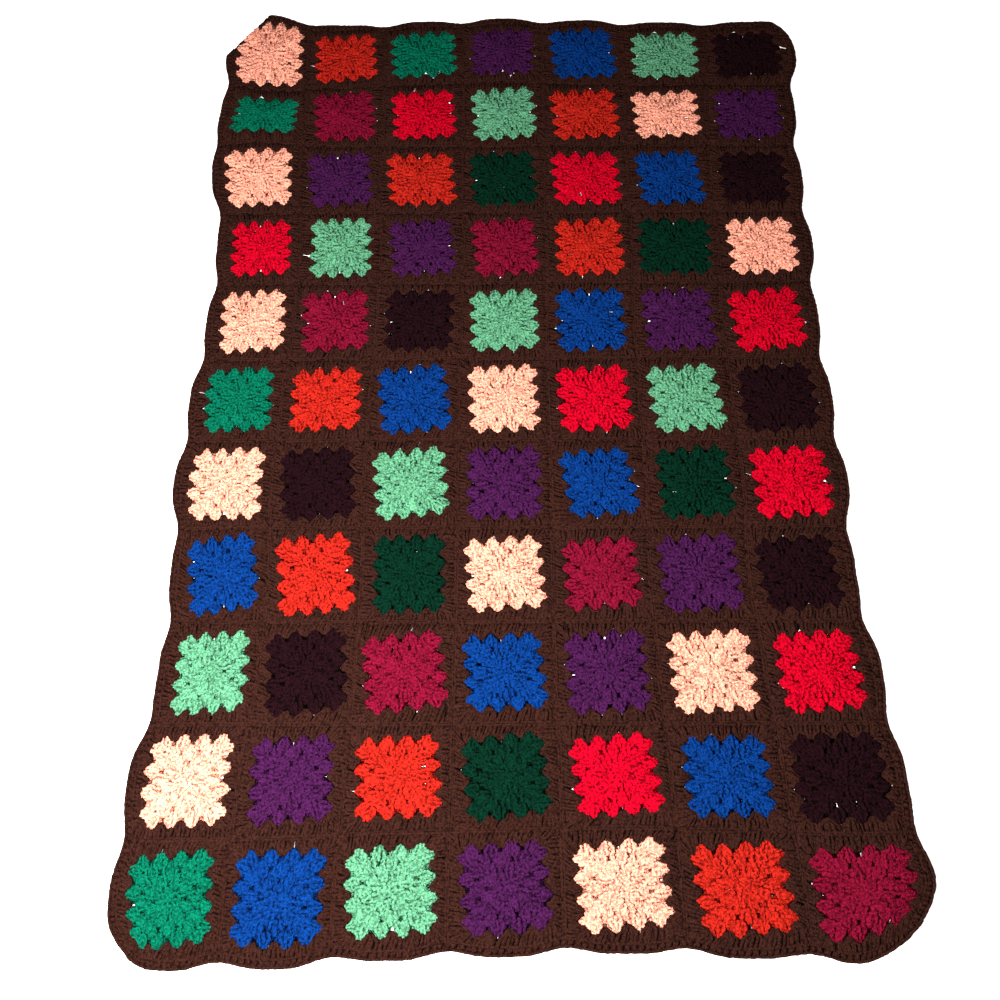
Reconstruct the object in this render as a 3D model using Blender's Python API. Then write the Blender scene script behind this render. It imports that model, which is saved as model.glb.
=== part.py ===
"""Granny square blanket: seven by eleven crocheted squares joined into one field, with a worked edging.

The blanket lies flat on a floor at z = 0, its long side along Y. Places on the cloth are counted in
squares, across from the left side and down from the far side, and shape() turns them into metres.
"""

import math

import bmesh
import bpy
import numpy as np
from mathutils import Vector

MM = 0.001
SQUARE = 150 * MM  # one joined square, seam to seam
ACROSS = 7  # squares in a row
DOWN = 11  # rows of squares
FABRIC = 5 * MM  # crocheted cloth, treble clusters in medium yarn
EDGING = 11 * MM  # width of the worked edging
JOIN_GAP = 0.3 * MM  # between the field and the edging
EDGE_DIP = 9 * MM  # how far each seam draws the outer edge in
DIP_REACH = 0.5  # squares, how far in from the edge a seam draws the cloth
CORNER_ROUND = 8 * MM  # how far a corner of the field is drawn in along its diagonal
STEPS = 6  # mesh faces along one square
FLAT_BELOW = 0.6 * MM  # a lift smaller than this lies on the floor

# The far left corner is turned under along a slanting fold.
FOLD_POINT = (-496 * MM, 801 * MM)  # a point on the fold
FOLD_FACING = math.radians(144.5)  # the way from the fold to the turned corner
FOLD_HALF = 1.5 * MM  # half the cloth that is taken up in the fold's edge
FOLD_GAP = 0.8 * MM  # between the turned corner and the cloth over it
FOLD_DEPTH = 58 * MM  # the cloth lies level over the turned corner this far in
FOLD_FADE = 75 * MM  # and comes down to the floor over this length

# How far each row's squares lie from a true grid, in mm: at the left, the middle and the right.
ROW_SHIFTS = [
    # left, middle, right
    (-6, -4, 22),
    (0, -1, 8),
    (0, -3, 4),
    (19, 0, 4),
    (18, -2, -4),
    (9, -4, -1),
    (3, -3, 4),
    (15, -3, -4),
    (14, -4, 9),
    (-4, -2, 20),
    (-9, -4, 36),
]

# How far the far and the near end of each column lie from a true grid, in mm along Y.
COLUMN_SHIFTS = [
    # far, near
    (2, -8),
    (-8, -6),
    (1, 4),
    (8, 8),
    (1, 12),
    (-5, 6),
    (-5, 0),
]
END_REACH = 2.0  # squares, where an end's shift has died away

# Places where the cloth is pulled or rucked: squares across and down, reach in squares, shift in mm.
PULLS = [
    # across, down, reach, shift along X, shift along Y
    (0.0, 0.0, 0.26, 14, -6),
    (0.4, 0.0, 0.30, 6, 14),
    (0.6, 1.0, 0.55, 0, -14),
    (0.5, 2.0, 0.55, 0, 13),
    (0.0, 2.0, 0.40, -10, 0),
    (7.0, 0.0, 0.24, -14, 4),
    (0.0, 11.0, 0.28, 16, 12),
    (7.0, 11.0, 0.42, -30, 24),
    (6.35, 11.0, 0.40, 0, -3),
]

# Places where the cloth stands off the floor: squares across and down, reach in squares, height in mm.
LIFTS = [
    # across, down, reach, height
    (0.30, 1.55, 0.40, 6),
    (0.0, 2.2, 0.35, 3),
    (7.0, 1.6, 0.35, 3),
    (7.0, 4.5, 0.30, 2),
    (6.75, 10.65, 0.40, 8),
    (2.4, 11.0, 0.30, 2),
    (4.6, 0.0, 0.30, 2),
]


def eased(at, values):
    """Values given at the middle of each square, joined by smooth steps."""
    from_first = np.clip(at - 0.5, 0, len(values) - 1)
    before = np.minimum(np.floor(from_first).astype(int), len(values) - 2)
    share = from_first - before
    share = share * share * (3 - 2 * share)
    values = np.asarray(values, float)
    return values[before] * (1 - share) + values[before + 1] * share


def faded(distance):
    """1 up to half a square from an end, falling smoothly to 0 at END_REACH."""
    share = np.clip((END_REACH - distance) / (END_REACH - 0.5), 0, 1)
    return share * share * (3 - 2 * share)


def bump(across, down, place):
    """A round hill of height 1 about a place on the cloth."""
    at_across, at_down, reach = place[:3]
    return np.exp(-((across - at_across) ** 2 + (down - at_down) ** 2) / reach**2)


def row_shift(across, down):
    """A parabola through the shifts at the left, middle and right square of the row."""
    left, middle, right = (eased(down, column) * MM for column in zip(*ROW_SHIFTS))
    first, centre, last = 0.5, ACROSS / 2, ACROSS - 0.5
    half = centre - first
    return (
        left * (across - centre) * (across - last) / (2 * half**2)
        - middle * (across - first) * (across - last) / half**2
        + right * (across - first) * (across - centre) / (2 * half**2)
    )


def end_shift(across, down):
    far, near = (eased(across, column) * MM for column in zip(*COLUMN_SHIFTS))
    return far * faded(down) + near * faded(DOWN - down)


def seam_dip(along, squares, inward, span):
    """How far a seam that meets an edge draws it in, towards the middle of the cloth."""
    inner_seam = (along > 0.5) & (along < squares - 0.5)
    notch = EDGE_DIP * np.cos(math.pi * along) ** 4 * inner_seam
    near_start = np.clip(1 - inward / DIP_REACH, 0, 1) ** 2
    near_end = np.clip(1 - (span - inward) / DIP_REACH, 0, 1) ** 2
    return notch * (near_start - near_end)


def corner_pull(across, down):
    """The rounding of the four corners, along their diagonals."""
    shift_x = np.zeros_like(across)
    shift_y = np.zeros_like(across)
    for corner_across in (0, ACROSS):
        for corner_down in (0, DOWN):
            pull = CORNER_ROUND / math.sqrt(2) * bump(across, down, (corner_across, corner_down, 0.15))
            shift_x += pull * (1 if corner_across == 0 else -1)
            shift_y += pull * (1 if corner_down == DOWN else -1)
    return shift_x, shift_y


def shape(across, down):
    """Where a place on the cloth lies: x, y and the height of its underside."""
    across = np.asarray(across, float)
    down = np.asarray(down, float)
    corner_x, corner_y = corner_pull(across, down)
    x = (across - ACROSS / 2) * SQUARE + row_shift(across, down) + corner_x
    y = (DOWN / 2 - down) * SQUARE + end_shift(across, down) + corner_y
    x += seam_dip(down, DOWN, across, ACROSS)
    y -= seam_dip(across, ACROSS, down, DOWN)
    for pull in PULLS:
        hill = bump(across, down, pull)
        x += pull[3] * MM * hill
        y += pull[4] * MM * hill
    lift = sum(hill[3] * MM * bump(across, down, hill) for hill in LIFTS)
    return x, y, np.maximum(np.maximum(lift - FLAT_BELOW, 0), over_fold(x, y))


def past_fold(x, y):
    """How far a point lies beyond the fold, on the turned corner's side."""
    return (x - FOLD_POINT[0]) * math.cos(FOLD_FACING) + (y - FOLD_POINT[1]) * math.sin(FOLD_FACING)


def over_fold(x, y):
    """The lift of the cloth that lies over the turned corner."""
    share = np.clip((FOLD_DEPTH + FOLD_FADE + past_fold(x, y)) / FOLD_FADE, 0, 1)
    return (FABRIC + FOLD_GAP) * share * share * (3 - 2 * share)


def outline():
    """The field's edge, anticlockwise from its near left corner, as places on the cloth."""
    left_to_right = np.arange(ACROSS * STEPS) / STEPS
    near_to_far = DOWN - np.arange(DOWN * STEPS) / STEPS
    across = np.concatenate([left_to_right, np.full(DOWN * STEPS, ACROSS), ACROSS - left_to_right,
                             np.zeros(DOWN * STEPS)])
    down = np.concatenate([np.full(ACROSS * STEPS, DOWN), near_to_far, np.zeros(ACROSS * STEPS),
                           DOWN - near_to_far])
    return across, down


def offset_outline(distance):
    """The field's edge moved outwards by a distance, each point along the bisector of its two sides."""
    x, y, z = shape(*outline())
    points = np.stack([x, y], axis=1)
    forward = np.roll(points, -1, axis=0) - points
    forward /= np.linalg.norm(forward, axis=1, keepdims=True)
    normal = np.stack([forward[:, 1], -forward[:, 0]], axis=1)
    bisector = normal + np.roll(normal, 1, axis=0)
    bisector /= (bisector * normal).sum(axis=1, keepdims=True)
    return np.column_stack([points + bisector * distance, z])


def yarn(name, colour):
    """A soft matt acrylic yarn."""
    material = bpy.data.materials.new(name)
    material.use_nodes = True
    shader = material.node_tree.nodes["Principled BSDF"]
    shader.inputs["Base Color"].default_value = (*colour, 1)
    shader.inputs["Roughness"].default_value = 0.9
    shader.inputs["Metallic"].default_value = 0
    return material


def turn_corner_under(sheet):
    """Folds the far left corner under the cloth, and returns its vertices."""
    toward = Vector((math.cos(FOLD_FACING), math.sin(FOLD_FACING), 0))
    on_fold = Vector((*FOLD_POINT, 0))
    for side in (-FOLD_HALF, FOLD_HALF):
        everything = list(sheet.verts) + list(sheet.edges) + list(sheet.faces)
        bmesh.ops.bisect_plane(sheet, geom=everything, plane_co=on_fold + toward * side, plane_no=toward)
    turned = set()
    for vert in sheet.verts:
        beyond = (vert.co - on_fold).dot(toward)
        if beyond > 0:
            vert.co -= toward * 2 * beyond
            vert.co.z = FABRIC
            turned.add(vert)
    return turned


def thicken(sheet, turned):
    """Closes a sheet into the cloth's thickness: upwards, or downwards on the turned corner."""
    turned_places = {tuple(vert.co) for vert in turned}
    made = bmesh.ops.extrude_face_region(sheet, geom=list(sheet.faces), use_keep_orig=True)["geom"]
    for item in made:
        if isinstance(item, bmesh.types.BMVert):
            item.co.z += -FABRIC if tuple(item.co) in turned_places else FABRIC
    bmesh.ops.recalc_face_normals(sheet, faces=sheet.faces)


def put_in(piece, collection):
    for other in list(piece.users_collection):
        other.objects.unlink(piece)
    collection.objects.link(piece)


def make_field(collection):
    """The joined squares: one grid, bent to the cloth's outline and lifts."""
    bpy.ops.mesh.primitive_grid_add(x_subdivisions=ACROSS * STEPS, y_subdivisions=DOWN * STEPS, size=1)
    field = bpy.context.object
    field.name = "field"
    field.data.name = "field"
    place = np.empty(len(field.data.vertices) * 3)
    field.data.vertices.foreach_get("co", place)
    place = place.reshape(-1, 3)
    across = (place[:, 0] + 0.5) * ACROSS
    down = (0.5 - place[:, 1]) * DOWN
    field.data.vertices.foreach_set("co", np.stack(shape(across, down), axis=1).ravel())
    sheet = bmesh.new()
    sheet.from_mesh(field.data)
    thicken(sheet, turn_corner_under(sheet))
    sheet.to_mesh(field.data)
    sheet.free()
    field.data.materials.append(yarn("square_yarn", (0.30, 0.05, 0.07)))
    put_in(field, collection)


def make_edging(collection):
    """The worked edging: a strip between two offsets of the field's edge, all the way round."""
    mesh = bpy.data.meshes.new("edging")
    strip = bmesh.new()
    inner = [strip.verts.new(point) for point in offset_outline(JOIN_GAP)]
    outer = [strip.verts.new(point) for point in offset_outline(EDGING)]
    for i, start in enumerate(inner):
        strip.faces.new([inner[i - 1], outer[i - 1], outer[i], start])
    thicken(strip, turn_corner_under(strip))
    strip.to_mesh(mesh)
    strip.free()
    mesh.materials.append(yarn("brown_yarn", (0.045, 0.021, 0.015)))
    collection.objects.link(bpy.data.objects.new("edging", mesh))


def main():
    for old in list(bpy.data.objects):
        bpy.data.objects.remove(old)
    blanket = bpy.data.collections.new("granny_square_blanket")
    bpy.context.scene.collection.children.link(blanket)
    make_field(blanket)
    make_edging(blanket)


main()
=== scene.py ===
import math

import bpy
import numpy as np
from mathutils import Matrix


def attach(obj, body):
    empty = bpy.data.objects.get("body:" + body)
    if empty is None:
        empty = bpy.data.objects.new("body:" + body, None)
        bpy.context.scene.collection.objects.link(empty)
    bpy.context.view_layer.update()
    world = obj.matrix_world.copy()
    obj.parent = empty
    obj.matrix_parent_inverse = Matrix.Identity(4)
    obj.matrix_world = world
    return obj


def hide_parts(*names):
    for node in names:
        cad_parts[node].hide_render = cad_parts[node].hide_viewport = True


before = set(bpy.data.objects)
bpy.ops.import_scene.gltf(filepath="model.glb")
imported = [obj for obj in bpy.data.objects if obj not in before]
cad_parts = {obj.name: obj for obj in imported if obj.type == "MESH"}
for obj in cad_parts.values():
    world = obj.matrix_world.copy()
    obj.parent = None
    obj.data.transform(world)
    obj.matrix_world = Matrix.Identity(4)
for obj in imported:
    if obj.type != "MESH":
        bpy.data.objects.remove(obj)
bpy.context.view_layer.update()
rng = np.random.default_rng(7)
mm = 0.001

# The cloth's own sizes, as in the CAD. Places on it are counted in squares, across and down from the far
# left corner.
cloth = dict(
    square=150 * mm,
    across=7,
    down=11,
    fabric=5 * mm,
    edging=11 * mm,
    edgeDip=9 * mm,
    dipReach=0.5,
    cornerRound=8 * mm,
    cornerReach=0.15,
    flatBelow=0.6 * mm,
    endReach=2.0,
    # left, middle and right shift of each row, in mm
    rowShifts=[(-6, -4, 22), (0, -1, 8), (0, -3, 4), (19, 0, 4), (18, -2, -4), (9, -4, -1),
               (3, -3, 4), (15, -3, -4), (14, -4, 9), (-4, -2, 20), (-9, -4, 36)],
    # far and near shift of each column, in mm
    columnShifts=[(2, -8), (-8, -6), (1, 4), (8, 8), (1, 12), (-5, 6), (-5, 0)],
    # pulled places: across, down, reach, shift along X and along Y in mm
    pulls=[(0.0, 0.0, 0.26, 14, -6), (0.4, 0.0, 0.30, 6, 14), (0.6, 1.0, 0.55, 0, -14),
           (0.5, 2.0, 0.55, 0, 13), (0.0, 2.0, 0.40, -10, 0), (7.0, 0.0, 0.24, -14, 4),
           (0.0, 11.0, 0.28, 16, 12), (7.0, 11.0, 0.42, -30, 24), (6.35, 11.0, 0.40, 0, -3)],
    # raised places: across, down, reach, height in mm
    lifts=[(0.30, 1.55, 0.40, 6), (0.0, 2.2, 0.35, 3), (7.0, 1.6, 0.35, 3), (7.0, 4.5, 0.30, 2),
           (6.75, 10.65, 0.40, 8), (2.4, 11.0, 0.30, 2), (4.6, 0.0, 0.30, 2)],
)

# The far left corner, turned under along a slanting fold.
fold = dict(point=(-496 * mm, 801 * mm), facing=math.radians(144.5), gap=0.8 * mm,
            depth=58 * mm, fade=75 * mm)


# Values at the middle of each square, joined by smooth steps: share = 3 t^2 - 2 t^3.
def eased(at, values):
    fromFirst = np.clip(at - 0.5, 0, len(values) - 1)
    before = np.minimum(np.floor(fromFirst).astype(int), len(values) - 2)
    share = fromFirst - before
    share = share * share * (3 - 2 * share)
    values = np.asarray(values, float)
    return values[before] * (1 - share) + values[before + 1] * share


# 1 near an end of the cloth, falling smoothly to 0 at endReach squares from it.
def faded(distance):
    share = np.clip((cloth["endReach"] - distance) / (cloth["endReach"] - 0.5), 0, 1)
    return share * share * (3 - 2 * share)


# A round hill: exp(-distance^2 / reach^2), distance in squares.
def hill(across, down, place):
    return np.exp(-((across - place[0]) ** 2 + (down - place[1]) ** 2) / place[2] ** 2)


# How far a seam draws the outer edge in: dip * cos^4 of the way along, fading inwards as a square.
def seamDip(along, squares, inward, span):
    innerSeam = (along > 0.5) & (along < squares - 0.5)
    notch = cloth["edgeDip"] * np.cos(math.pi * along) ** 4 * innerSeam
    nearStart = np.clip(1 - inward / cloth["dipReach"], 0, 1) ** 2
    nearEnd = np.clip(1 - (span - inward) / cloth["dipReach"], 0, 1) ** 2
    return notch * (nearStart - nearEnd)


# How far a place is past the fold line, measured the way the fold faces.
def pastFold(x, y):
    facing = fold["facing"]
    return (x - fold["point"][0]) * math.cos(facing) + (y - fold["point"][1]) * math.sin(facing)


# Where a place on the cloth lies: x, y and the height of its underside.
def clothShape(across, down):
    nAcross, nDown, side = cloth["across"], cloth["down"], cloth["square"]
    left, middle, right = (eased(down, column) * mm for column in zip(*cloth["rowShifts"]))
    first, centre, last = 0.5, nAcross / 2, nAcross - 0.5
    half = centre - first
    # a parabola through the row's three shifts
    x = (across - centre) * side + (
        left * (across - centre) * (across - last) / (2 * half**2)
        - middle * (across - first) * (across - last) / half**2
        + right * (across - first) * (across - centre) / (2 * half**2))
    far, near = (eased(across, column) * mm for column in zip(*cloth["columnShifts"]))
    y = (nDown / 2 - down) * side + far * faded(down) + near * faded(nDown - down)
    for cornerAcross in (0, nAcross):
        for cornerDown in (0, nDown):
            pull = cloth["cornerRound"] / math.sqrt(2) * hill(
                across, down, (cornerAcross, cornerDown, cloth["cornerReach"]))
            x = x + pull * (1 if cornerAcross == 0 else -1)
            y = y + pull * (1 if cornerDown == nDown else -1)
    x = x + seamDip(down, nDown, across, nAcross)
    y = y - seamDip(across, nAcross, down, nDown)
    for pull in cloth["pulls"]:
        strength = hill(across, down, pull)
        x = x + pull[3] * mm * strength
        y = y + pull[4] * mm * strength
    lift = sum(place[3] * mm * hill(across, down, place) for place in cloth["lifts"])
    lift = np.maximum(lift - cloth["flatBelow"], 0)
    share = np.clip((fold["depth"] + fold["fade"] + pastFold(x, y)) / fold["fade"], 0, 1)
    over = (cloth["fabric"] + fold["gap"]) * share * share * (3 - 2 * share)
    return x, y, np.maximum(lift, over)


# Lays points of the flat cloth on the floor. Past the fold they roll round an axis at the underside:
# a quarter and a half turn, with radius their height, and then run back under the cloth.
def layCloth(across, down, height):
    x, y, lift = clothShape(across, down)
    past = pastFold(x, y)
    rolled = cloth["fabric"] / 2 * math.pi
    turn = np.clip(past / rolled, 0, 1) * math.pi
    axisHeight = cloth["fabric"] + fold["gap"] / 2
    reach = height + fold["gap"] / 2
    outward = np.where(past > 0, reach * np.sin(turn) - np.maximum(past - rolled, 0), past)
    z = np.where(past > 0, axisHeight + reach * np.cos(turn), lift + height)
    shift = outward - past
    x = x + shift * math.cos(fold["facing"])
    y = y + shift * math.sin(fold["facing"])
    return np.stack([x, y, np.maximum(z, 0.2 * mm)], axis=-1)


# The squares' yarns, read row by row from the far left.
yarnChart = """
peach orange emerald purple blue mint black
emerald wine red mint orange peach purple
peach purple orange forest red blue black
red mint purple wine orange forest peach
peach wine black mint blue purple red
emerald orange blue peach red mint black
peach black mint purple blue forest red
blue orange forest peach wine purple black
mint black wine blue purple peach red
peach purple orange forest red blue black
emerald blue mint purple peach orange wine
""".split()

yarns = dict(
    peach=(0.94, 0.365, 0.256),
    orange=(0.40, 0.0130, 0.0072),
    emerald=(0.0005, 0.113, 0.062),
    purple=(0.0425, 0.0061, 0.0445),
    blue=(0.0012, 0.0285, 0.160),
    mint=(0.094, 0.297, 0.163),
    black=(0.0095, 0.0020, 0.0034),
    wine=(0.158, 0.0030, 0.0190),
    red=(0.47, 0.0004, 0.013),
    forest=(0.0005, 0.0165, 0.0083),
    joining=(0.0280, 0.0087, 0.0060),
)

# One square, in mm from its middle: four coloured rounds and a brown fifth, all of fans that stand in the
# gaps of the round before. A fan is a flat pad with posts of yarn on it.
motif = dict(
    ring=3.0,  # radius of the opening ring
    round=14.4,  # height of a round
    step=28.4,  # from fan to fan along a side
    rounds=4,
    bite=8.0,  # how far a fan reaches down into the round before
    crown=1.4,  # how far the middle of a fan stands past its round
    turn=4.5,  # the swirl of a worked square, in degrees
    turnSpread=2.1,  # and how much it differs, in degrees
    spread=0.03,  # how much the squares differ in size and lean
    blendFrom=58,  # the swirl dies away between these distances from the middle
    blendTo=74,
)

# Squares that lie oddly: row and column, turn in degrees, scale across and along, lean.
oddSquares = {
    (0, 0): (2, 1.10, 1.13, 0.02),
    (1, 0): (0, 1.00, 0.84, 0.05),
    (10, 6): (5, 1.08, 0.98, 0.08),
}


# How each square was worked, as a matrix: a turn, then a scale each way, with a lean across.
def squareMatrices():
    squares = cloth["across"] * cloth["down"]
    turn = np.radians(rng.normal(motif["turn"], motif["turnSpread"], squares))
    scale = rng.normal(1, motif["spread"], (2, squares))
    lean = rng.normal(0, motif["spread"], squares)
    for (row, column), odd in oddSquares.items():
        at = row * cloth["across"] + column
        turn[at] = math.radians(odd[0])
        scale[0, at], scale[1, at], lean[at] = odd[1:]
    cos, sin = np.cos(turn), np.sin(turn)
    matrix = np.stack([np.stack([scale[0] * cos + lean * sin, -scale[0] * sin + lean * cos], -1),
                       np.stack([scale[1] * sin, scale[1] * cos], -1)], -2)
    return matrix


matrices = squareMatrices()


# Points of a square (mm, from its middle) to the floor. The worked square's matrix holds inside the fourth
# round and dies away to nothing at the seam: weight = smooth step of the larger of |x| and |y|.
def placeInSquare(points, square):
    x, y, z = points[..., 0], points[..., 1], points[..., 2]
    matrix = matrices[square]
    shape = (-1,) + (1,) * (x.ndim - 1)
    m = [[matrix[:, i, j].reshape(shape) for j in (0, 1)] for i in (0, 1)]
    radius = np.maximum(np.abs(x), np.abs(y))
    weight = np.clip((motif["blendTo"] - radius) / (motif["blendTo"] - motif["blendFrom"]), 0, 1)
    weight = weight * weight * (3 - 2 * weight)
    newX = x + weight * (m[0][0] * x + m[0][1] * y - x)
    newY = y + weight * (m[1][0] * x + m[1][1] * y - y)
    row = (square // cloth["across"]).reshape(shape)
    column = (square % cloth["across"]).reshape(shape)
    across = column + 0.5 + newX * mm / cloth["square"]
    down = row + 0.5 - newY * mm / cloth["square"]
    return layCloth(across, down, z * mm)


# Closed tubes along many paths at once. centre is tubes x stations x 3, its first and last stations the two
# poles. A ring is an ellipse of half sizes wide and high, turned by twist about the path.
def tubePoints(centre, wide, high, twist, sides):
    along = np.gradient(centre, axis=1)
    along /= np.linalg.norm(along, axis=2, keepdims=True)
    across = np.cross(along, (0, 0, 1))
    across /= np.linalg.norm(across, axis=2, keepdims=True)
    over = np.cross(across, along)
    angle = math.pi / 2 + np.arange(sides) * 2 * math.pi / sides
    p = wide[:, 1:-1, None] * np.cos(angle)
    q = high[:, 1:-1, None] * np.sin(angle)
    cos, sin = np.cos(twist[:, 1:-1, None]), np.sin(twist[:, 1:-1, None])
    rings = (centre[:, 1:-1, None] + across[:, 1:-1, None] * (p * cos - q * sin)[..., None]
             + over[:, 1:-1, None] * (p * sin + q * cos)[..., None])
    tubes = len(centre)
    return np.concatenate([centre[:, :1], rings.reshape(tubes, -1, 3), centre[:, -1:]], axis=1)


# The faces of one tube, as corner lists: a fan at each pole and rings of quads between them, with each
# corner's station and its place round the tube for the UV map.
def tubeFaces(rings, sides):
    side = np.arange(sides)
    after = (side + 1) % sides
    last = 1 + rings * sides
    foot = np.stack([np.zeros(sides, int), 1 + after, 1 + side], 1)
    head = np.stack([np.full(sides, last), last - sides + side, last - sides + after], 1)
    ring = np.arange(rings - 1)[:, None] * sides + 1
    walls = np.stack([ring + side, ring + after, ring + sides + after, ring + sides + side], -1)
    walls = walls.reshape(-1, 4)
    loops = np.concatenate([foot.ravel(), walls.ravel(), head.ravel()])
    sizes = np.concatenate([np.full(sides, 3), np.full(len(walls), 4), np.full(sides, 3)])
    wallStation = np.broadcast_to(np.arange(rings - 1)[:, None, None] + np.array([1, 1, 2, 2]),
                                  (rings - 1, sides, 4))
    wallAround = np.broadcast_to(np.stack([side, side + 1, side + 1, side], -1), (rings - 1, sides, 4))
    station = np.concatenate([np.tile([0, 1, 1], sides), wallStation.ravel(),
                              np.tile([rings + 1, rings, rings], sides)])
    around = np.concatenate([np.stack([side + 0.5, side + 1, side], 1).ravel(), wallAround.ravel(),
                             np.stack([side + 0.5, side, side + 1], 1).ravel()])
    return loops, sizes, station, around / sides


# How tubes differ: spread of their own shades, and how far apart their plies may start, in mm.
tubeLook = dict(shadeSpread=0.05, plyStart=10)


# A piece from sets of tubes. Each set is (points, path length at each station, rings, sides).
def makePiece(name, tubeSets, material):
    points, loops, sizes, uvs, shades = [], [], [], [], []
    start = 0
    for tube, length, rings, sides in tubeSets:
        tubes, perTube = tube.shape[:2]
        tubeLoops, tubeSizes, station, around = tubeFaces(rings, sides)
        offset = start + np.arange(tubes)[:, None] * perTube
        loops.append((offset + tubeLoops).ravel())
        sizes.append(np.tile(tubeSizes, tubes))
        along = length[:, station] + rng.uniform(0, tubeLook["plyStart"], (tubes, 1))
        uvs.append(np.stack([along, np.broadcast_to(around, along.shape)], -1).reshape(-1, 2))
        points.append(tube.reshape(-1, 3))
        shades.append(np.repeat(rng.normal(1, tubeLook["shadeSpread"], tubes), perTube))
        start += tubes * perTube
    points, loops, sizes = np.concatenate(points), np.concatenate(loops), np.concatenate(sizes)
    mesh = bpy.data.meshes.new(name)
    mesh.vertices.add(len(points))
    mesh.vertices.foreach_set("co", points.astype(np.float32).ravel())
    mesh.loops.add(len(loops))
    mesh.loops.foreach_set("vertex_index", loops.astype(np.int32))
    mesh.polygons.add(len(sizes))
    mesh.polygons.foreach_set("loop_start", np.concatenate([[0], np.cumsum(sizes)[:-1]]).astype(np.int32))
    mesh.polygons.foreach_set("use_smooth", np.ones(len(sizes), bool))
    mesh.update(calc_edges=True)
    uvMap = mesh.uv_layers.new(name="yarn")
    uvMap.data.foreach_set("uv", np.concatenate(uvs).astype(np.float32).ravel())
    shade = mesh.attributes.new("shade", "FLOAT", "POINT")
    shade.data.foreach_set("value", np.concatenate(shades).astype(np.float32))
    mesh.materials.append(material)
    piece = bpy.data.objects.new(name, mesh)
    bpy.context.scene.collection.objects.link(piece)
    print(f"{name}: {int((sizes - 2).sum())} triangles")
    return piece


# The length along each path: the running sum of its steps.
def pathLength(centre):
    step = np.linalg.norm(np.diff(centre, axis=1), axis=2)
    return np.concatenate([np.zeros((len(centre), 1)), np.cumsum(step, axis=1)], axis=1)


# Turns points given along a side and out from the middle to the square's own x and y, by quarter turns.
def turnSide(points, side):
    angle = (side * math.pi / 2).reshape((-1,) + (1,) * (points.ndim - 2))
    a, r = points[..., 0], points[..., 1]
    return np.stack([a * np.cos(angle) - r * np.sin(angle), a * np.sin(angle) + r * np.cos(angle),
                     points[..., 2]], -1)


# The fans of one square, a row for each: side, foot along and out, head along and out. A foot reaches bite
# below its round, and the feet of corner fans stand on the diagonals.
def squareFans(firstRound, lastRound, step, bite, headOut=None):
    fans = []
    for number in range(firstRound, lastRound + 1):
        inner = motif["ring"] + motif["round"] * (number - 1)
        outer = headOut or motif["ring"] + motif["round"] * number + motif["crown"]
        foot = max(inner - bite, -1)
        for side in range(4):
            for i in range(number):
                place = (i - (number - 1) / 2) * step
                atCorner = number > 1 and i in (0, number - 1)
                if atCorner:
                    fans.append((side, math.copysign(foot, place), foot, place, outer))
                else:
                    fans.append((side, place, foot, place, outer))
    return np.array(fans, float)


# A fan's middle line: straight from foot to head, with its head a little off its place.
def fanLine(fans, stations, offset, lowered):
    side, footA, footR, headA, headR = (fans[:, i, None] for i in range(5))
    a = footA + (headA - footA) * stations + offset
    r = footR + (headR - lowered - footR) * stations
    return a, r


# Pads: flat tubes whose half width follows the outline of a full fan, of a fan with a finger for its head
# (the fourth round's scallops), or of a fan cut level at its head (the brown round).
pad = dict(
    stations=[0, 0.08, 0.35, 0.52, 0.77, 0.94, 1],
    full=[0, 6.0, 14.8, 14.8, 13.4, 11.6, 0],
    finger=[0, 6.0, 15.0, 14.6, 8.2, 6.4, 0],
    level=[0, 6.4, 9.6, 14.9, 15.0, 14.9, 0],
    high=[0, 1.3, 1.6, 1.6, 1.5, 1.3, 0],
    z=2.7,
    brownZ=2.2,
    # unevenness: sideways at the head, along, up, and of the width
    shift=0.6,
    slide=0.5,
    rise=0.2,
    widths=0.08,
)


# Tubes of four sides along each fan's middle line, as wide as the outline and as high as the pad.
def fanPads(fans, outline, z):
    stations = np.array(pad["stations"])
    jitter = rng.normal(0, 1, (len(fans), 4, 1))
    a, r = fanLine(fans, stations, pad["shift"] * jitter[:, 0] * stations, pad["slide"] * jitter[:, 1])
    centre = np.stack([a, r, z + pad["rise"] * jitter[:, 2] + 0 * a], -1)
    wide = np.array(pad[outline]) * (1 + pad["widths"] * jitter[:, 3])
    tall = np.broadcast_to(np.array(pad["high"]), a.shape)
    points = tubePoints(centre, wide, tall, 0 * a, 4)
    return turnSide(points, fans[:, 0]), pathLength(centre), len(stations) - 2, 4


# Posts: tubes that spread from a fan's foot, lumpy where the yarn wraps round itself. Coloured fans have
# three each: fullPost in the first three rounds, fingerPost in the fourth. The brown ones have five finer
# ones, which leave room for the fingers and then spread to level heads.
fullPost = dict(
    perFan=3,
    sides=4,
    stations=[0, 0.10, 0.26, 0.40, 0.58, 0.72, 0.92, 1],
    spread=[2.4, 4.0, 7.0, 7.4, 8.6, 8.4, 8.8, 8.6],
    wide=[0, 3.2, 4.3, 2.7, 4.5, 2.7, 4.2, 0],
    high=[0, 1.4, 2.0, 0.8, 2.0, 0.8, 1.8, 0],
    z=[2.6, 3.0, 3.5, 3.3, 3.5, 3.2, 3.4, 2.9],
    lowered=1.6,  # how much lower the outer posts end
    uneven=1.0,
)
fingerPost = dict(
    perFan=3,
    sides=4,
    stations=[0, 0.10, 0.26, 0.40, 0.58, 0.72, 0.93, 1],
    spread=[2.4, 4.0, 7.0, 7.6, 7.0, 5.2, 3.9, 3.4],
    wide=[0, 3.2, 4.3, 3.0, 4.3, 2.8, 3.5, 0],
    high=[0, 1.4, 2.0, 0.8, 2.0, 0.9, 1.8, 0],
    z=[2.6, 3.0, 3.5, 3.3, 3.7, 3.5, 3.6, 3.1],
    lowered=1.7,
    uneven=1.0,
)
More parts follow.
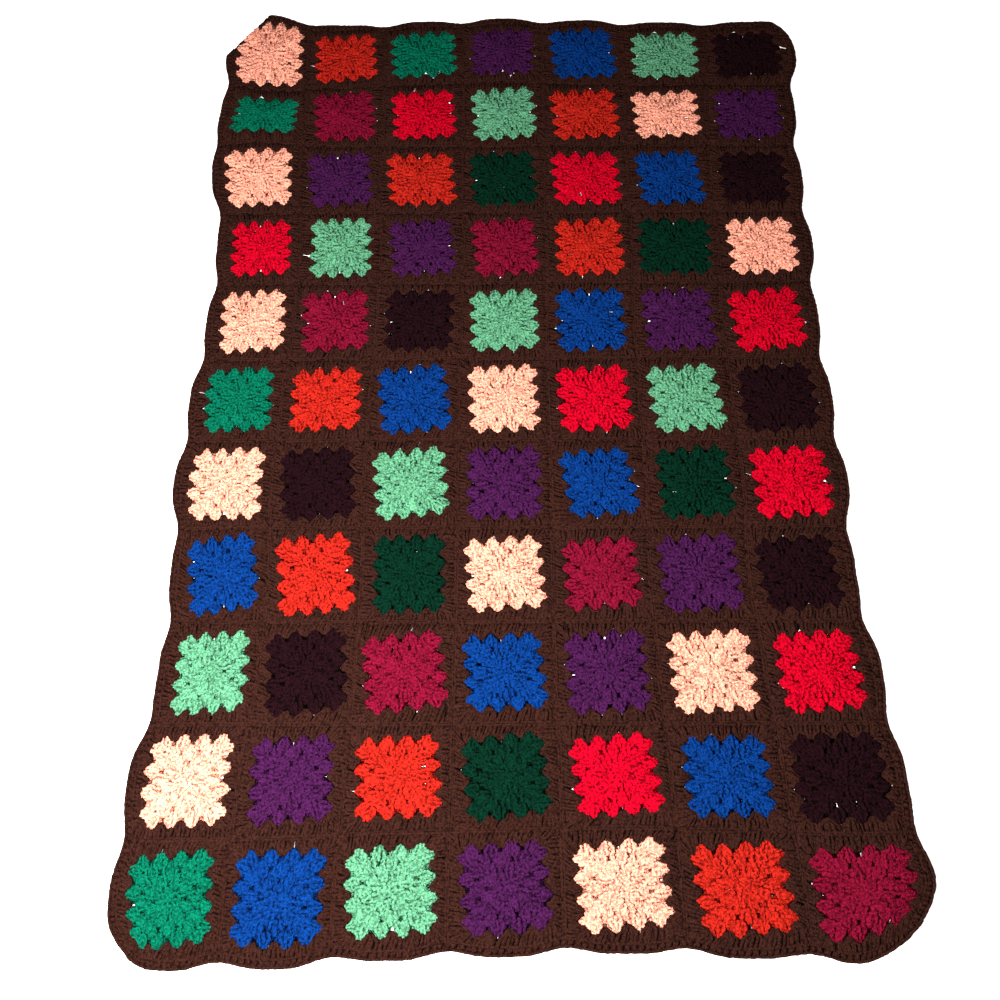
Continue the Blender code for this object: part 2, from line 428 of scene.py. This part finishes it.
brownPost = dict(
    perFan=5,
    sides=4,
    stations=[0, 0.12, 0.32, 0.48, 0.95, 1],
    spread=[2.0, 3.2, 5.8, 11.0, 11.7, 11.7],
    wide=[0, 1.9, 2.9, 4.1, 4.3, 0],
    high=[0, 1.3, 1.3, 1.3, 1.3, 0],
    z=[2.4, 3.3, 3.6, 3.6, 3.5, 3.0],
    lowered=0.0,
    uneven=1.2,
)


# Unevenness of the posts: of a whole post (shift, slide, rise, widths, heights, twist), then of each lump in
# it. All of them end a little short of their pads.
postUneven = dict(shift=0.7, slide=0.6, rise=0.25, widths=0.06, heights=0.06, twist=0.25,
                  lumpRise=0.2, lumpWidth=0.09, lumpShift=0.4, short=0.9)


# Tubes along each fan's line, set off to the sides by the spread at each station. The outer ones end lower.
def fanPosts(fans, post):
    own = postUneven
    stations = np.array(post["stations"])
    many = np.repeat(fans, post["perFan"], axis=0)
    place = np.tile(np.linspace(-1, 1, post["perFan"]), len(fans))[:, None]
    jitter = rng.normal(0, 1, (len(many), 6, 1))
    lumps = rng.normal(0, post["uneven"], (3, len(many), len(stations)))
    offset = (place * np.array(post["spread"]) + own["shift"] * jitter[:, 0] * stations
              + own["lumpShift"] * lumps[2])
    lowered = own["short"] + post["lowered"] * np.abs(place) + own["slide"] * jitter[:, 1]
    a, r = fanLine(many, stations, offset, lowered)
    z = np.array(post["z"]) + own["rise"] * jitter[:, 2] + own["lumpRise"] * lumps[0]
    centre = np.stack([a, r, z], -1)
    wide = np.array(post["wide"]) * (1 + own["widths"] * jitter[:, 3] + own["lumpWidth"] * lumps[1])
    tall = np.array(post["high"]) * (1 + own["heights"] * jitter[:, 4]) + 0 * a
    points = tubePoints(centre, wide, tall, own["twist"] * jitter[:, 5] + 0 * a, post["sides"])
    return turnSide(points, many[:, 0]), pathLength(centre), len(stations) - 2, post["sides"]


# One set of stitches repeated in many squares, each with its own small unevenness, then laid on the floor.
def inSquares(build, fans, squares, *sizes):
    points, length, rings, sides = build(np.tile(fans, (len(squares), 1)), *sizes)
    square = np.repeat(squares, len(points) // len(squares))
    return placeInSquare(points, square), length, rings, sides


# A soft plied yarn: each tube's own random tone, slow mottling, slanting plies along the UV map with painted
# shade in their grooves, and painted shade in the small dips between the nubs.
yarnLook = dict(
    pitch=3.0,  # mm of yarn to a ply
    turns=2.0,
    stray=2.2,  # how far the plies wander
    fibres=1500,  # scales of the patterns, to a metre
    mottle=110,
    nubs=270,
    roughness=0.9,
    shine=0.03,
    plyShade=(0.87, 0.20),  # shade at the dark of the pattern, and how much its light adds
    mottleShade=(0.8, 0.4),
    nubShade=1.3,
    fineHeight=0.3,  # how much plies and fibres stand up, and nubs
    nubHeight=1.6,
    bump=0.8,
    depth=1.5,  # mm
)


def yarnMaterial(name, colour):
    material = bpy.data.materials.new(name)
    material.use_nodes = True
    nodes, links = material.node_tree.nodes, material.node_tree.links
    shader = nodes["Principled BSDF"]
    shader.inputs["Roughness"].default_value = yarnLook["roughness"]
    shader.inputs["Specular IOR Level"].default_value = yarnLook["shine"]
    place = nodes.new("ShaderNodeTexCoord")
    uv = nodes.new("ShaderNodeUVMap")
    uv.uv_map = "yarn"
    split = nodes.new("ShaderNodeSeparateXYZ")
    links.new(uv.outputs["UV"], split.inputs[0])

    def maths(operation, first, second=None):
        node = nodes.new("ShaderNodeMath")
        node.operation = operation
        for socket, value in zip(node.inputs, (first, second)):
            if isinstance(value, (int, float)):
                socket.default_value = value
            elif value is not None:
                links.new(value, socket)
        return node.outputs[0]

    def pattern(kind, output, scale, **more):
        node = nodes.new(kind)
        node.inputs["Scale"].default_value = scale
        for key, value in more.items():
            node.inputs[key].default_value = value
        links.new(place.outputs["Object"], node.inputs["Vector"])
        return node.outputs[output]

    # plies = |sin(pi (along / pitch + turns * around + stray * noise))|
    phase = maths("ADD", maths("MULTIPLY", split.outputs[0], 1 / yarnLook["pitch"]),
                  maths("MULTIPLY", split.outputs[1], yarnLook["turns"]))
    wander = pattern("ShaderNodeTexNoise", "Fac", yarnLook["nubs"], Detail=1)
    phase = maths("ADD", phase, maths("MULTIPLY", wander, yarnLook["stray"]))
    plies = maths("ABSOLUTE", maths("SINE", maths("MULTIPLY", phase, math.pi)))
    fibres = pattern("ShaderNodeTexNoise", "Fac", yarnLook["fibres"], Detail=2)
    mottle = pattern("ShaderNodeTexNoise", "Fac", yarnLook["mottle"], Detail=3)
    nubs = pattern("ShaderNodeTexVoronoi", "Distance", yarnLook["nubs"])
    shade = nodes.new("ShaderNodeAttribute")
    shade.attribute_name = "shade"
    # The plies and nubs factors are painted shade: the colour is darker in the ply grooves and in the dips
    # between nubs, where the bump below is low.
    # light = shade * (dark + more * plies) * (dark + more * mottle) * (nubShade - nubs)
    light = shade.outputs["Fac"]
    for texture, (dark, more) in ((plies, yarnLook["plyShade"]), (mottle, yarnLook["mottleShade"])):
        light = maths("MULTIPLY", light, maths("ADD", maths("MULTIPLY", texture, more), dark))
    light = maths("MULTIPLY", light, maths("SUBTRACT", yarnLook["nubShade"], nubs))
    grey = nodes.new("ShaderNodeCombineColor")
    for channel in ("Red", "Green", "Blue"):
        links.new(light, grey.inputs[channel])
    tint = nodes.new("ShaderNodeMix")
    tint.data_type = "RGBA"
    tint.blend_type = "MULTIPLY"
    tint.inputs["Factor"].default_value = 1
    tint.inputs["A"].default_value = (*colour, 1)
    links.new(grey.outputs[0], tint.inputs["B"])
    links.new(tint.outputs["Result"], shader.inputs["Base Color"])
    bump = nodes.new("ShaderNodeBump")
    bump.inputs["Strength"].default_value = yarnLook["bump"]
    bump.inputs["Distance"].default_value = yarnLook["depth"] * mm
    # height = fineHeight * (plies + fibres) - nubHeight * nubs
    fine = maths("MULTIPLY", maths("ADD", plies, fibres), yarnLook["fineHeight"])
    height = maths("SUBTRACT", fine, maths("MULTIPLY", nubs, yarnLook["nubHeight"]))
    links.new(height, bump.inputs["Height"])
    links.new(bump.outputs["Normal"], shader.inputs["Normal"])
    return material


# Camera: where a standing person holds one, over the near edge.
cameraPlan = dict(place=(-0.0030, -0.6978, 1.3425), tilt=(0.3691, 0.0059, -0.0017), focal=32.77, sensor=36)


def addCamera():
    data = bpy.data.cameras.new("camera")
    data.lens = cameraPlan["focal"]
    data.sensor_width = cameraPlan["sensor"]
    camera = bpy.data.objects.new("camera", data)
    camera.location = cameraPlan["place"]
    camera.rotation_euler = cameraPlan["tilt"]
    bpy.context.scene.collection.objects.link(camera)
    bpy.context.scene.camera = camera


addCamera()

material = {name: yarnMaterial(name + "_yarn", colour) for name, colour in yarns.items()}
chart = np.array(yarnChart)
everySquare = np.arange(cloth["across"] * cloth["down"])

# A white floor that glows a little, so that it stays plain white behind the cloth.
floorLook = dict(size=12, white=0.85, roughness=0.9, glow=0.7)
bpy.ops.mesh.primitive_plane_add(size=floorLook["size"], location=(0, 0, 0))
floor = bpy.context.object
floor.name = "floor"
paint = bpy.data.materials.new("floor_white")
paint.use_nodes = True
floorShader = paint.node_tree.nodes["Principled BSDF"]
floorShader.inputs["Base Color"].default_value = (*[floorLook["white"]] * 3, 1)
floorShader.inputs["Roughness"].default_value = floorLook["roughness"]
floorShader.inputs["Emission Color"].default_value = (1, 1, 1, 1)
floorShader.inputs["Emission Strength"].default_value = floorLook["glow"]
floor.data.materials.append(paint)
print("camera, yarns and floor made")


# A cloth piece of pads, with the stitches that stand on it, declared to the frame.
def declare(sheetPiece, stitches, node):
    for piece in (sheetPiece, *stitches):
        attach(piece, "root")
        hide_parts(node)


fullFans = squareFans(1, motif["rounds"] - 1, motif["step"], motif["bite"])
fingerFans = squareFans(motif["rounds"], motif["rounds"], motif["step"], motif["bite"])
for name in yarns:
    squares = np.flatnonzero(chart == name)
    if not len(squares):
        continue
    pads = makePiece(name + "_squares", [inSquares(fanPads, fullFans, squares, "full", pad["z"]),
                                         inSquares(fanPads, fingerFans, squares, "finger", pad["z"])],
                     material[name])
    posts = makePiece(name + "_stitches", [inSquares(fanPosts, fullFans, squares, fullPost),
                                           inSquares(fanPosts, fingerFans, squares, fingerPost)],
                      material[name])
    declare(pads, [posts], "field")
print("coloured squares made")

# The brown fifth round reaches just past the seams, and a chain runs along its heads.
brown = dict(
    round=5,
    step=29.2,
    bite=10.0,
    headOut=76.5,
    chainOut=73.4,
    chainEnd=75.8,
    chainTip=1.2,
    chainWide=2.6,
    chainHigh=1.6,
    chainZ=3.6,
    chainRings=14,
    chainSides=5,
    wander=0.25,  # unevenness of the chain, sideways and up
    rise=0.2,
)
brownFans = squareFans(brown["round"], brown["round"], brown["step"], brown["bite"], brown["headOut"])
brownPads = makePiece("brown_rounds", [inSquares(fanPads, brownFans, everySquare, "level", pad["brownZ"])],
                     material["joining"])
brownPosts = [makePiece("brown_stitches_" + part, [inSquares(fanPosts, brownFans, squares, brownPost)],
                        material["joining"])
              for part, squares in zip(("far", "middle", "near"), np.array_split(everySquare, 3))]


# The chain along one side of a square: a straight rope just inside the seam.
def sideChains(squares):
    inner = 1 - brown["chainTip"] / brown["chainEnd"]
    stations = np.concatenate([[-1], np.linspace(-inner, inner, brown["chainRings"]), [1]])
    sides = np.tile(np.arange(4), len(squares))
    jitter = rng.normal(0, 1, (2, len(sides), len(stations)))
    a = stations * brown["chainEnd"] + 0 * jitter[0]
    centre = np.stack([a, brown["chainOut"] + brown["wander"] * jitter[0],
                       brown["chainZ"] + brown["rise"] * jitter[1]], -1)
    body = np.ones(len(stations))
    body[[0, -1]] = 0
    points = tubePoints(centre, brown["chainWide"] * body + 0 * a, brown["chainHigh"] * body + 0 * a, 0 * a,
                        brown["chainSides"])
    laid = placeInSquare(turnSide(points, sides), np.repeat(squares, 4))
    return laid, pathLength(centre), brown["chainRings"], brown["chainSides"]


chains = makePiece("seam_chains", [sideChains(everySquare)], material["joining"])
declare(brownPads, [*brownPosts, chains], "field")
print("brown rounds made")

# The edging: a thin strip under a row of short stitches, a groove, and a corded edge. Distances are in mm out
# from the joined squares, and the corner radius is in squares.
edge = dict(
    corner=0.10,
    lengths=12,  # strip and cord are made in this many lengths
    stripFrom=-1.5,
    stripTo=10.0,
    stripZ=1.9,
    stripHigh=1.2,
    stripRings=60,
    stripUneven=0.1,
    stitches=620,
    stitchFrom=-1.0,
    stitchTo=6.6,
    stitchLean=0.35,
    stitchWide=4.6,
    stitchHigh=1.8,
    stitchZ=3.2,
    stitchArch=0.6,
    cordOut=8.6,
    cordZ=3.0,
    cordWide=2.3,
    cordHigh=2.2,
    cordRings=110,
    cordUneven=0.25,
    overlap=0.02,  # of a length, where the next one starts
)


# The cloth's outline moved out by mm: straight sides and quarter-circle corners, t from 0 to 1.
def edgePath(t, out):
    nAcross, nDown, radius = cloth["across"], cloth["down"], edge["corner"]
    arc = np.linspace(0, math.pi / 2, 13)
    corners = ((nAcross - radius, nDown - radius), (radius, nDown - radius), (radius, radius),
               (nAcross - radius, radius))
    angle = np.concatenate([arc + i * math.pi / 2 for i in range(4)])
    middle = np.repeat(corners, len(arc), axis=0)
    normal = np.stack([np.cos(angle), np.sin(angle)], -1)
    line = middle + radius * normal
    line, normal = (np.concatenate([part, part[:1]]) for part in (line, normal))
    length = np.concatenate([[0], np.cumsum(np.linalg.norm(np.diff(line, axis=0), axis=1))])
    at = (t % 1) * length[-1]
    x, y = (np.interp(at, length, line[:, i]) for i in (0, 1))
    normalX, normalY = (np.interp(at, length, normal[:, i]) for i in (0, 1))
    norm = np.hypot(normalX, normalY) * cloth["square"] / mm
    return x + out * normalX / norm, y + out * normalY / norm


# Lays tubes given by t along the edge, mm out from it and mm up.
def alongEdge(t, out, z, wide, high, rings, sides):
    across, down = edgePath(t, out)
    flat = cloth["square"] / mm
    centre = np.stack([across * flat, -down * flat, z + 0 * across], -1)
    points = tubePoints(centre, wide + 0 * across, high + 0 * across, 0 * across, sides)
    laid = layCloth(points[..., 0] / flat, -points[..., 1] / flat, points[..., 2] * mm)
    return laid, pathLength(centre), rings, sides


# Short stitches side by side: each leans along the edge and arches as a half sine.
def edgeStitches():
    count = edge["stitches"]
    stations = np.array([0, 0.15, 0.5, 0.85, 1])
    body = np.array([0, 0.9, 1.0, 0.9, 0])
    jitter = rng.normal(0, 1, (count, 3, 1))
    t = (np.arange(count)[:, None] + edge["stitchLean"] * (stations - 0.5) + 0.1 * jitter[:, 0]) / count
    out = edge["stitchFrom"] + (edge["stitchTo"] - edge["stitchFrom"]) * stations + 0.3 * jitter[:, 1]
    z = edge["stitchZ"] + edge["stitchArch"] * np.sin(math.pi * stations) + 0.25 * jitter[:, 2]
    return alongEdge(t, out, z, edge["stitchWide"] * body, edge["stitchHigh"] * body, len(stations) - 2, 5)


# A rope in lengths that overlap a little, so that each is a closed tube of six sides.
def edgeRope(out, z, wide, high, rings, uneven):
    stations = np.concatenate([[-edge["overlap"]], np.linspace(0, 1, rings), [1 + edge["overlap"]]])
    body = np.concatenate([[0], np.ones(rings), [0]])
    t = (np.arange(edge["lengths"])[:, None] + stations) / edge["lengths"]
    lumps = rng.normal(0, uneven, (2, *t.shape))
    return alongEdge(t, out + lumps[0], z + lumps[1], wide * body, high * body, rings, 6)


stripMiddle = (edge["stripFrom"] + edge["stripTo"]) / 2
stripHalf = (edge["stripTo"] - edge["stripFrom"]) / 2
stripRope = edgeRope(stripMiddle, edge["stripZ"], stripHalf, edge["stripHigh"], edge["stripRings"],
                     edge["stripUneven"])
strip = makePiece("edging_strip", [stripRope], material["joining"])
shortStitches = edgeStitches()
cord = edgeRope(edge["cordOut"], edge["cordZ"], edge["cordWide"], edge["cordHigh"], edge["cordRings"],
                edge["cordUneven"])
stitches = makePiece("edging_stitches", [shortStitches, cord], material["joining"])
declare(strip, [stitches], "edging")
print("edging made")


# One soft lamp over the near left of the cloth, and a pale studio all round.
lamp = dict(place=(-0.5, -0.75, 1.45), target=(-0.4, -0.6, 0), size=0.7, power=102, colour=(1.0, 0.98, 0.95))
studioLight = 0.20


# A round lamp aimed at its target: a tilt from straight down, then a turn about Z.
def addLamp():
    data = bpy.data.lights.new("lamp", "AREA")
    data.shape = "DISK"
    data.size = lamp["size"]
    data.energy = lamp["power"]
    data.color = lamp["colour"]
    light = bpy.data.objects.new("lamp", data)
    light.location = lamp["place"]
    direction = np.array(lamp["target"]) - np.array(lamp["place"])
    flat = math.hypot(direction[0], direction[1])
    light.rotation_euler = (math.atan2(flat, -direction[2]), 0, math.atan2(-direction[0], direction[1]))
    bpy.context.scene.collection.objects.link(light)


addLamp()
world = bpy.data.worlds.new("studio")
world.use_nodes = True
world.node_tree.nodes["Background"].inputs["Color"].default_value = (1, 1, 1, 1)
world.node_tree.nodes["Background"].inputs["Strength"].default_value = studioLight
bpy.context.scene.world = world
bpy.context.scene.view_settings.view_transform = "Standard"
print("lamp and studio made")
